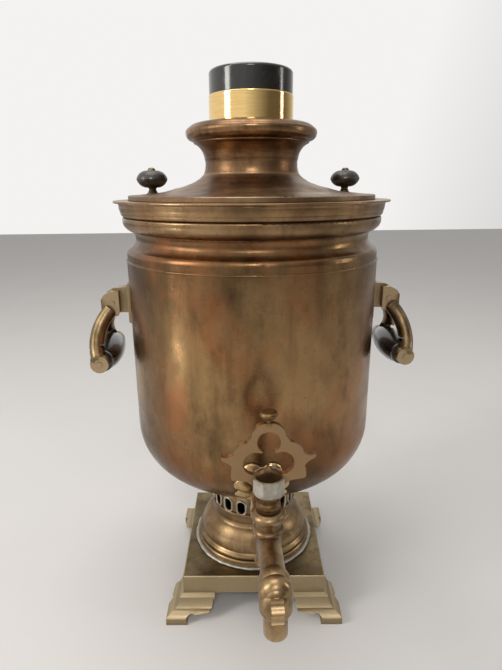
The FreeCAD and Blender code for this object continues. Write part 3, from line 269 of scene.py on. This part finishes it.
# The jar is painted darker on its lower part, from 0.13 m, fading out at 0.25 m: painted shade.
jar_brass = brass("old_brass_jar", BROWN, GOLD, ROSY, gloss=(0.20, 0.34), cloud=11, seed=1.3,
                  rosy_share=0.7, painted_shade_below=(0.13, 0.25))
ring_brass = brass("old_brass_ring", (0.16, 0.098, 0.05), (0.33, 0.215, 0.11), ROSY,
                   gloss=(0.22, 0.38), cloud=20, seed=2.1, rosy_share=0.35, wear=0.7)
lid_brass = brass("old_brass_lid", (0.17, 0.105, 0.06), (0.33, 0.225, 0.13),
                  (0.24, 0.11, 0.06), gloss=(0.28, 0.44), cloud=18, seed=3.7, rosy_share=0.4)
crown_brass = brass("rosy_brass_crown", (0.145, 0.08, 0.04), (0.31, 0.185, 0.092),
                    (0.24, 0.11, 0.055), gloss=(0.22, 0.38), cloud=26, seed=4.9,
                    rosy_share=0.45)
pedestal_brass = brass("old_brass_pedestal", (0.17, 0.11, 0.055), (0.36, 0.25, 0.13),
                       (0.28, 0.15, 0.075), gloss=(0.24, 0.40), cloud=24, seed=6.1,
                       rosy_share=0.4)
base_brass = brass("cast_brass_base", (0.135, 0.10, 0.052), (0.28, 0.215, 0.12),
                   (0.20, 0.125, 0.06), gloss=(0.30, 0.50), cloud=26, turned=False, seed=7.7,
                   rosy_share=0.3, wear=0.8, pits=0.00012)
tap_brass = brass("cast_brass_tap", (0.16, 0.10, 0.052), (0.36, 0.25, 0.13),
                  (0.27, 0.15, 0.07), gloss=(0.26, 0.42), cloud=42, turned=False, seed=9.2,
                  rosy_share=0.4, wear=0.8, pits=0.0001)
# Painted shade: the key's brass is a darker copy of the tap's brass, for the shade the key sits
# in.
key_brass_painted_shade = brass("cast_brass_key_painted_shade", (0.105, 0.062, 0.026), (0.215, 0.128, 0.055),
                  (0.18, 0.09, 0.036), gloss=(0.30, 0.46), cloud=62, turned=False, seed=11.5,
                  rosy_share=0.4, wear=0.9, pits=0.00016)
handle_brass = brass("cast_brass_handles", (0.125, 0.09, 0.048), (0.30, 0.215, 0.115),
                     (0.22, 0.125, 0.06), gloss=(0.26, 0.44), cloud=75, turned=False, seed=13.1,
                     rosy_share=0.35, wear=0.9, pits=0.00016)
print("nine brasses")

# %% [markdown]
# ## Bright band, solder, iron and soot
#
# The cap's band is the one piece that is still polished like gold. Its fine marks run round it,
# so the noise is stretched into thin rings. Solder is a dull grey that takes on a brown tarnish,
# and the grate and the inside of the fire tube are matt, rough and sooty.

# %% The other metals
def plain_metal(name, first, second, gloss, scale, depth, metallic=1.0, stretch=(1, 1, 1)):
    """A metal of two close colours, with its own grain and relief."""
    material, tree, shader, place = new_material(name)
    clouds = ramp(tree, noise_at(tree, place, scale, 6, stretch), 0.32, 0.7)
    tree.links.new(mix_colour(tree, clouds, first, second), shader.inputs["Base Color"])
    shader.inputs["Metallic"].default_value = metallic
    haze = ramp(tree, noise_at(tree, place, scale * 2.3, 4, stretch), 0.3, 0.7, *gloss)
    tree.links.new(haze, shader.inputs["Roughness"])
    relief(tree, shader, noise_at(tree, place, scale * 3, 5, stretch), depth)
    return material


gold_band = plain_metal("polished_gold_band", (0.83, 0.55, 0.20), (0.92, 0.66, 0.30),
                        (0.06, 0.13), 60, 0.000012, stretch=(1, 1, 16))
grey_solder = plain_metal("grey_solder", (0.33, 0.30, 0.24), (0.50, 0.47, 0.41),
                          (0.38, 0.6), 160, 0.0002)
rough_iron = plain_metal("rough_iron", (0.035, 0.032, 0.03), (0.10, 0.07, 0.05),
                         (0.6, 0.85), 220, 0.0004)
sooty_tube = plain_metal("sooty_tube", (0.10, 0.09, 0.08), (0.27, 0.25, 0.22),
                         (0.4, 0.7), 60, 0.0001)
print("four more metals")

# %% [markdown]
# ## Black wood and the black cap
#
# The knobs and the grips are turned wood, stained black and worn to a soft shine. Under the
# stain the grain still shows as faint stretched streaks. The cap's top is glossier and has a
# thin film of dust, which is why its flat top looks grey from above: the dust lies on what
# faces up, so it is mixed in by the surface's own normal.

# %% Black finishes
DUST = (0.30, 0.28, 0.25)


def black_finish(name, deep, pale, gloss, grain, depth, stretch, dust=0.0, coat=0.3):
    """A black surface with a faint grain, and dust on what faces up."""
    material, tree, shader, place = new_material(name)
    streaks = ramp(tree, noise_at(tree, place, grain, 6, stretch), 0.35, 0.75)
    colour = mix_colour(tree, streaks, deep, pale)
    haze = ramp(tree, noise_at(tree, place, 90, 4), 0.3, 0.7, *gloss)
    if dust:
        facing = tree.nodes.new("ShaderNodeNewGeometry")
        split = tree.nodes.new("ShaderNodeSeparateXYZ")
        tree.links.new(facing.outputs["Normal"], split.inputs[0])
        lying = ramp(tree, split.outputs["Z"], 0.6, 1.0, 0, dust)
        patchy = ramp(tree, noise_at(tree, place, 70, 6), 0.25, 0.7, 0.5, 1.0)
        film = sum_of(tree, lying, patchy, "MULTIPLY")
        colour = mix_colour(tree, film, colour, DUST)
        haze = sum_of(tree, haze, sum_of(tree, film, 0.5, "MULTIPLY"))
    tree.links.new(colour, shader.inputs["Base Color"])
    tree.links.new(haze, shader.inputs["Roughness"])
    shader.inputs["Coat Weight"].default_value = coat
    shader.inputs["Coat Roughness"].default_value = 0.12
    relief(tree, shader, noise_at(tree, place, grain * 2, 4, stretch), depth)
    return material


knob_wood = black_finish("black_knob_wood", (0.012, 0.010, 0.009), (0.045, 0.036, 0.030),
                         (0.32, 0.5), 120, 0.00008, (1, 1, 4), dust=0.15)
grip_wood = black_finish("black_grip_wood", (0.008, 0.007, 0.007), (0.035, 0.028, 0.024),
                         (0.18, 0.34), 110, 0.00006, (5, 0.6, 5), coat=0.6)
cap_black = black_finish("black_cap", (0.010, 0.009, 0.008), (0.022, 0.019, 0.016),
                         (0.12, 0.24), 300, 0.00001, (1, 1, 1), dust=0.34, coat=0.45)
print("three blacks")

# %% [markdown]
# ## Dressing the solids
#
# The solids are right as they are, so they stay and only get their finish. Two things are
# added as modifiers, which leave the workshop's mesh untouched: smooth shading with creases
# kept at real corners, and a small bevel on cast pieces, because a mould never leaves a knife
# edge and the bevel catches the light as the photograph shows.

# %% Give every solid its finish
FINISHES = {
    "base_plate": base_brass,
    "foot_": base_brass,
    "solder_ring": grey_solder,
    "pedestal": pedestal_brass,
    "grate": rough_iron,
    "body_shell": jar_brass,
    "fire_tube": sooty_tube,
    "rim_ring": ring_brass,
    "lid_shell": lid_brass,
    "lid_flange": lid_brass,
    "lid_knob_left": knob_wood,
    "lid_knob_right": knob_wood,
    "lid_knob_bolt_": base_brass,
    "lid_knob_nut_": handle_brass,
    "vent_": handle_brass,
    "crown_ring": crown_brass,
    "crown_sleeve": sooty_tube,
    "cap_band": gold_band,
    "cap_top": cap_black,
    "tap_escutcheon": tap_brass,
    "tap_body": tap_brass,
    "tap_plug": key_brass_painted_shade,
    "tap_washer": tap_brass,
    "tap_key_collar": grey_solder,
    "tap_key_plate": key_brass_painted_shade,
    "handle_": handle_brass,
    "grip_rod_": handle_brass,
    "grip_left": grip_wood,
    "grip_right": grip_wood,
}
BEVELS = {
    "base_plate": 0.8 * MM,
    "foot_": 0.9 * MM,
    "tap_body": 0.5 * MM,
    "tap_key_collar": 0.4 * MM,
    "tap_key_plate": 0.9 * MM,
    "handle_bracket_": 1.0 * MM,
    "handle_arm_": 0.7 * MM,
}
CREASE = math.radians(38)
BEVEL_ANGLE = math.radians(40)


def named_like(table, name):
    """The entry whose key starts the piece's name, the longest key first."""
    keys = [key for key in sorted(table, key=len, reverse=True) if name.startswith(key)]
    return table[keys[0]] if keys else None


def dress(piece, material, bevel=None):
    """Gives a solid its finish, its smooth shading and, if it is cast, its soft edges."""
    piece.data.materials.clear()
    piece.data.materials.append(material)
    if bevel:
        soften = piece.modifiers.new("soft_edges", "BEVEL")
        soften.width = bevel
        soften.segments = 3
        soften.limit_method = "ANGLE"
        soften.angle_limit = BEVEL_ANGLE
        soften.harden_normals = False
    piece.data.shade_smooth()
    piece.data.set_sharp_from_angle(angle=CREASE)


for name, piece in nodes.items():
    dress(piece, named_like(FINISHES, name), named_like(BEVELS, name))
print(len(nodes), "solids dressed")

# %% [markdown]
# ## The rims of the draught holes
#
# Each hole in the pedestal's neck was punched from inside, which leaves a pale raised lip
# round it. A lip is a thin tube that follows the oval of the hole on the round neck. It could
# be drawn on with bump, but from the side the lips stand out from the neck, so they are real
# tubes: one oval path, repeated round the neck, all joined into one piece.

# %% Tubes that follow a path
def tube(mesh, path, radius, sides=8):
    """Adds a closed ring of tube along a closed path of points to a mesh."""
    count = len(path)
    rings = []
    for index, point in enumerate(path):
        along = (path[(index + 1) % count] - path[index - 1]).normalized()
        out = Vector((point.x, point.y, 0)).normalized()
        across = along.cross(out).normalized()
        out = across.cross(along)
        ring = []
        for side in range(sides):
            turn = 2 * math.pi * side / sides
            arm = math.cos(turn) * out + math.sin(turn) * across
            ring.append(mesh.verts.new(point + radius * arm))
        rings.append(ring)
    for index in range(count):
        first, second = rings[index - 1], rings[index]
        for side in range(sides):
            after = (side + 1) % sides
            mesh.faces.new((first[side], first[after], second[after], second[side]))


def piece_from(mesh, name, material, body):
    """Turns a finished mesh into a piece that rides on a body."""
    bmesh.ops.recalc_face_normals(mesh, faces=mesh.faces)
    data = bpy.data.meshes.new(name)
    mesh.to_mesh(data)
    mesh.free()
    data.materials.append(material)
    data.shade_smooth()
    piece = bpy.data.objects.new(name, data)
    bpy.context.scene.collection.objects.link(piece)
    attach(piece, body)
    return piece


print("tubes ready")

# %% Lips round the draught holes
NECK_RADIUS = 40.0 * MM
HOLE_COUNT = 18
HOLE_WIDTH = 7.8 * MM
HOLE_LENGTH = 13.0 * MM
HOLE_MIDDLE = 93.5 * MM
LIP = 1.1 * MM
LIP_STEPS = 28

lips = bmesh.new()
for hole in range(HOLE_COUNT):
    facing = -math.pi / 2 + 2 * math.pi * hole / HOLE_COUNT
    path = []
    for step in range(LIP_STEPS):
        turn = 2 * math.pi * step / LIP_STEPS
        half_width = HOLE_WIDTH / 2 + 0.6 * LIP
        straight = (HOLE_LENGTH - HOLE_WIDTH) / 2
        up = half_width * math.sin(turn) + math.copysign(straight, math.sin(turn))
        angle = facing + half_width * math.cos(turn) / NECK_RADIUS
        reach = NECK_RADIUS - 0.1 * LIP
        path.append(Vector((reach * math.cos(angle), reach * math.sin(angle), HOLE_MIDDLE + up)))
    tube(lips, path, LIP)
pale_lips = plain_metal("pale_lips", (0.34, 0.29, 0.21), (0.52, 0.48, 0.40),
                        (0.3, 0.5), 120, 0.0001)
piece_from(lips, "draught_hole_lips", pale_lips, "samovar")
print(HOLE_COUNT, "lips")

# %% [markdown]
# ## The petals behind the tap
#
# Where the tap leaves the jar, a rosette of eight petals hides the joint. Each petal is pressed
# out from behind, full in its middle and thin at its edge, with a sharp valley to the next, and
# the two upper ones are longer. The workshop's solid is the flat sheet of it. The piece made
# here follows the same outline on the same wall, and swells each petal by a smooth formula in
# two directions: along the petal and across it.

# %% A rosette that follows the wall
TAP_HEIGHT = 156.0 * MM
SHANK = 9.0 * MM
JAR_RADIUS = 106.5 * MM
BELLY_TOP = 176.4 * MM
BELLY_FOOT = Vector((42.0 * MM, 124.2 * MM))
PETALS = 8
VALLEY = 0.84 * 21.0 * MM
TOP_BOW = 0.65
SIDE_BOW = 0.42
PETAL_SWELL = 3.6 * MM
PETAL_EDGE = 0.9 * MM
PETAL_BACK = 0.1 * MM


def wall_radius(height):
    """The jar's outer radius at a height: straight above the belly, an ellipse below it."""
    if height >= BELLY_TOP:
        return JAR_RADIUS
    drop = (BELLY_TOP - height) / (BELLY_TOP - BELLY_FOOT.y)
    return BELLY_FOOT.x + (JAR_RADIUS - BELLY_FOOT.x) * math.sqrt(max(0, 1 - min(1, drop) ** 2))


def on_wall(across, height, out):
    """The point of the wall behind a spot of the rosette, moved out from the wall."""
    radius = wall_radius(height) + out
    return Vector((across, -math.sqrt(radius ** 2 - across ** 2), height))


def valley_point(number):
    """The inner corner between two petals, the highest one first, clockwise."""
    turn = math.pi / 2 - 2 * math.pi * number / PETALS
    reach = VALLEY * (1 + 0.2 * max(0, math.sin(turn)) ** 2)
    return Vector((reach * math.cos(turn), reach * math.sin(turn)))


def petal_point(number, share):
    """A point of a petal's round edge, at a share of the way between its two corners."""
    start, end = valley_point(number), valley_point(number + 1)
    bow = TOP_BOW if number in (0, PETALS - 1) else SIDE_BOW
    half = (end - start).length / 2
    radius = half * (1 + 4 * bow ** 2) / (4 * bow)
    spread = 2 * math.atan(2 * bow)
    chord = (end - start).normalized()
    outward = Vector((-chord.y, chord.x))
    centre = (start + end) / 2 + outward * (2 * half * bow - radius)
    angle = (2 * share - 1) * spread
    return centre + radius * (math.sin(angle) * chord + math.cos(angle) * outward)


print("petal reach", round(petal_point(0, 0.5).length / MM, 1), "mm")

# %% Press the petals
rosette = bmesh.new()
ACROSS, ALONG = 26, 20
front, back = [], []
for petal in range(PETALS):
    for step in range(ACROSS):
        share = step / ACROSS
        edge = petal_point(petal, share)
        heart = edge.normalized() * SHANK * 0.98
        bulge = math.sin(math.pi * share)
        fronts, backs = [], []
        for ring in range(ALONG + 1):
            way = ring / ALONG
            spot = heart.lerp(edge, way)
            full = math.sin(math.pi * (0.1 + 0.9 * way)) ** 0.6 if ring < ALONG else 0
            out = PETAL_EDGE + PETAL_SWELL * full * bulge ** 0.6
            fronts.append(rosette.verts.new(on_wall(spot.x, TAP_HEIGHT + spot.y, out)))
            backs.append(rosette.verts.new(on_wall(spot.x, TAP_HEIGHT + spot.y, PETAL_BACK)))
        front.append(fronts)
        back.append(backs)
for step in range(PETALS * ACROSS):
    here, there = front[step - 1], front[step]
    behind, beyond = back[step - 1], back[step]
    for ring in range(ALONG):
        rosette.faces.new((here[ring], here[ring + 1], there[ring + 1], there[ring]))
        rosette.faces.new((behind[ring], beyond[ring], beyond[ring + 1], behind[ring + 1]))
    rosette.faces.new((here[ALONG], behind[ALONG], beyond[ALONG], there[ALONG]))
    rosette.faces.new((here[0], there[0], beyond[0], behind[0]))
# Painted highlight: the petals get a much paler brass than the rest of the samovar, for the
# lamp's light on their domes.
petal_brass_painted_highlight = brass("pressed_brass_petals_painted_highlight", (0.40, 0.26, 0.12), (0.60, 0.43, 0.23),
                    (0.42, 0.22, 0.10), gloss=(0.14, 0.28), cloud=60, turned=False, seed=15.4,
                    rosy_share=0.3, wear=0.4, pits=0.00004)
rosette_piece = piece_from(rosette, "petal_rosette", petal_brass_painted_highlight, "samovar")
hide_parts("tap_escutcheon")
print(PETALS, "petals")

# %% [markdown]
# ## Solder round the pedestal
#
# The pedestal was run into place with solder, which froze as an uneven grey bead. A perfect
# ring would look machined, so the bead's height and width wander a little along its way, by a
# noise that closes on itself because it is read on the circle.

# %% An uneven bead
BEAD_RADIUS = 57.2 * MM
BEAD_LOW = 40.4 * MM
BEAD_HIGH = 42.6 * MM
BEAD_WIDE, WIDE_WANDER = 2.5, 0.9
BEAD_TALL, TALL_WANDER = 1.6, 0.4

bead = bmesh.new()
STEPS, SIDES = 240, 10
loops = []
for step in range(STEPS):
    turn = 2 * math.pi * step / STEPS
    outward = Vector((math.cos(turn), math.sin(turn), 0))
    wander = noise.noise(outward * 4.0) + 0.5 * noise.noise(outward * 11.0 + Vector((5, 0, 0)))
    wide = (BEAD_WIDE + WIDE_WANDER * wander) * MM
    tall = (BEAD_TALL + TALL_WANDER * wander) * MM
    middle = outward * (BEAD_RADIUS - 0.4 * MM) + Vector((0, 0, (BEAD_LOW + BEAD_HIGH) / 2))
    loop = []
    for side in range(SIDES):
        angle = 2 * math.pi * side / SIDES
        rise = Vector((0, 0, tall * math.sin(angle)))
        loop.append(bead.verts.new(middle + outward * wide * math.cos(angle) + rise))
    loops.append(loop)
for step in range(STEPS):
    first, second = loops[step - 1], loops[step]
    for side in range(SIDES):
        after = (side + 1) % SIDES
        bead.faces.new((first[side], first[after], second[after], second[side]))
piece_from(bead, "solder_bead", grey_solder, "samovar")
print("bead of", STEPS, "steps")

# %% [markdown]
# ## Washers that level the lid's fittings
#
# The lid falls away a little towards its edge, while knobs and vent stand upright. A fitter
# closes the thin wedge below each of them with a soft washer pressed into it, low on the inner
# side and tall on the outer one. Each washer here is a ring of four-cornered slices, whose lower
# corners follow the cone of the lid.

# %% Press the washers
LID_TURN = math.radians(6.0)
LID_TOP = 376.2 * MM
LID_SLOPE = 2.3 / (0.245 * 102.0)
LID_FLAT_EDGE = 99.96 * MM
KNOB_DISTANCE, KNOB_FOOT = 82.0 * MM, 4.14 * MM
VENT_DISTANCE, VENT_FOOT = 86.0 * MM, 6.5 * MM
WASHER_STEPS = 48
WASHER_EDGE = 1.1 * MM
SUNK = 0.1 * MM


def lid_height(x, y):
    """The height of the lid's sloping top at a spot."""
    return LID_TOP + LID_SLOPE * (LID_FLAT_EDGE - math.hypot(x, y))


def washer(mesh, x, y, radius):
    """Adds a washer that fills the wedge under a round foot of the given radius."""
    foot = LID_TOP + LID_SLOPE * (LID_FLAT_EDGE - math.hypot(x, y) + radius)
    edge = radius + WASHER_EDGE
    slices = []
    for step in range(WASHER_STEPS):
        turn = 2 * math.pi * step / WASHER_STEPS
        corners = []
        for reach, rise in ((radius - 0.3 * MM, None), (radius + 0.2 * MM, 0.3 * MM),
                            (radius + 0.9 * MM, 0.2 * MM), (edge, 0.0)):
            spot = (x + reach * math.cos(turn), y + reach * math.sin(turn))
            level = lid_height(*spot) - SUNK
            if rise is not None:
                level += max(foot - level, 0) * (edge - reach) / (WASHER_EDGE + 0.3 * MM) + rise
            corners.append(mesh.verts.new((*spot, level)))
        slices.append(corners)
    for step in range(WASHER_STEPS):
        first, second = slices[step - 1], slices[step]
        for corner in range(4):
            after = (corner + 1) % 4
            mesh.faces.new((first[corner], first[after], second[after], second[corner]))


washers = bmesh.new()
for distance, angle, radius in ((KNOB_DISTANCE, LID_TURN, KNOB_FOOT),
                                (KNOB_DISTANCE, LID_TURN + math.pi, KNOB_FOOT),
                                (VENT_DISTANCE, LID_TURN + math.pi / 2, VENT_FOOT)):
    washer(washers, distance * math.cos(angle), distance * math.sin(angle), radius)
piece_from(washers, "lid_washers", lid_brass, "lid")
print("three washers")

# %% [markdown]
# ## Floor, light and background
#
# A plain pale floor and a soft studio light show the metal without colouring it. Metal is
# drawn by what it mirrors, so the light matters more than the colour. One soft lamp stands on
# the left, one above the camera and one overhead, a narrow one on the right draws the far
# edge, and a small one low on the left makes the short streak down the jar's side. Camera and
# metal see the same room: a pale wall behind and to the left, which falls off to a dim side in
# front on the right, as a studio does with a dark screen there. Under an even white sky the
# metal would look flat.

# %% Floor
floor_material, floor_tree, floor_shader, floor_place = new_material("pale_floor")
speck = ramp(floor_tree, noise_at(floor_tree, floor_place, 6, 4), 0.3, 0.7)
floor_colour = mix_colour(floor_tree, speck, (0.78, 0.77, 0.76), (0.80, 0.79, 0.78))
floor_tree.links.new(floor_colour, floor_shader.inputs["Base Color"])
floor_shader.inputs["Roughness"].default_value = 0.75
FLOOR_SIZE = 8.0
ground = bmesh.new()
bmesh.ops.create_grid(ground, x_segments=2, y_segments=2, size=FLOOR_SIZE / 2)
floor_data = bpy.data.meshes.new("floor")
ground.to_mesh(floor_data)
ground.free()
floor_data.materials.append(floor_material)
floor = bpy.data.objects.new("floor", floor_data)
floor.location.z = -0.2 * MM
bpy.context.scene.collection.objects.link(floor)
print("floor of", FLOOR_SIZE, "m")

# %% Lamps
def soft_lamp(name, place, size, watts, colour=(1.0, 0.97, 0.93), aim=(0, 0, 0.25)):
    """A soft rectangle of light that looks at the samovar and stays out of the picture."""
    data = bpy.data.lights.new(name, "AREA")
    data.shape = "RECTANGLE"
    data.size, data.size_y = size
    data.energy = watts
    data.color = colour
    lamp = bpy.data.objects.new(name, data)
    bpy.context.scene.collection.objects.link(lamp)
    lamp.location = place
    lamp.rotation_euler = (Vector(aim) - Vector(place)).to_track_quat("-Z", "Y").to_euler()
    lamp.visible_camera = False


soft_lamp("lamp_left", (-1.3, -0.5, 0.9), (0.35, 0.8), 9)
soft_lamp("lamp_front", (-0.12, -1.5, 1.5), (0.4, 0.25), 7)
soft_lamp("lamp_right", (1.3, -0.1, 0.6), (0.15, 0.7), 2)
soft_lamp("lamp_top", (-0.2, 0.1, 1.8), (1.0, 1.0), 9)
soft_lamp("lamp_low", (-0.75, -0.28, 0.05), (0.03, 0.16), 0.32, aim=(0, 0, 0.2))
print("five lamps")

# %% The room
PALE_WALL = (0.90, 0.89, 0.88)
DIM_SIDE = (0.13, 0.118, 0.105)
DIM_DIRECTION = Vector((0.90, -0.35, -0.25))
FELT_LIGHT = (0.80, 0.78, 0.76, 1)
FELT_STRENGTH = 0.45
world = bpy.data.worlds.new("soft_room")
world.use_nodes = True
room = world.node_tree
room.nodes.clear()
room_out = room.nodes.new("ShaderNodeOutputWorld")
seen = room.nodes.new("ShaderNodeBackground")
felt = room.nodes.new("ShaderNodeBackground")
path_kind = room.nodes.new("ShaderNodeLightPath")
direction = room.nodes.new("ShaderNodeTexCoord")
towards_dim = room.nodes.new("ShaderNodeVectorMath")
towards_dim.operation = "DOT_PRODUCT"
towards_dim.inputs[1].default_value = DIM_DIRECTION.normalized()
room.links.new(direction.outputs["Generated"], towards_dim.inputs[0])
dimness = ramp(room, towards_dim.outputs["Value"], -0.05, 0.85)
room.links.new(mix_colour(room, dimness, PALE_WALL, DIM_SIDE), seen.inputs["Color"])
felt.inputs["Color"].default_value = FELT_LIGHT
felt.inputs["Strength"].default_value = FELT_STRENGTH
shows_room = sum_of(room, path_kind.outputs["Is Camera Ray"],
                    path_kind.outputs["Is Glossy Ray"], "MAXIMUM")
shows_room = sum_of(room, shows_room, path_kind.outputs["Is Transmission Ray"], "MAXIMUM")
chosen = room.nodes.new("ShaderNodeMixShader")
room.links.new(shows_room, chosen.inputs[0])
room.links.new(felt.outputs[0], chosen.inputs[1])
room.links.new(seen.outputs[0], chosen.inputs[2])
room.links.new(chosen.outputs[0], room_out.inputs["Surface"])
bpy.context.scene.world = world
bpy.context.scene.view_settings.view_transform = "Standard"
print("the room")
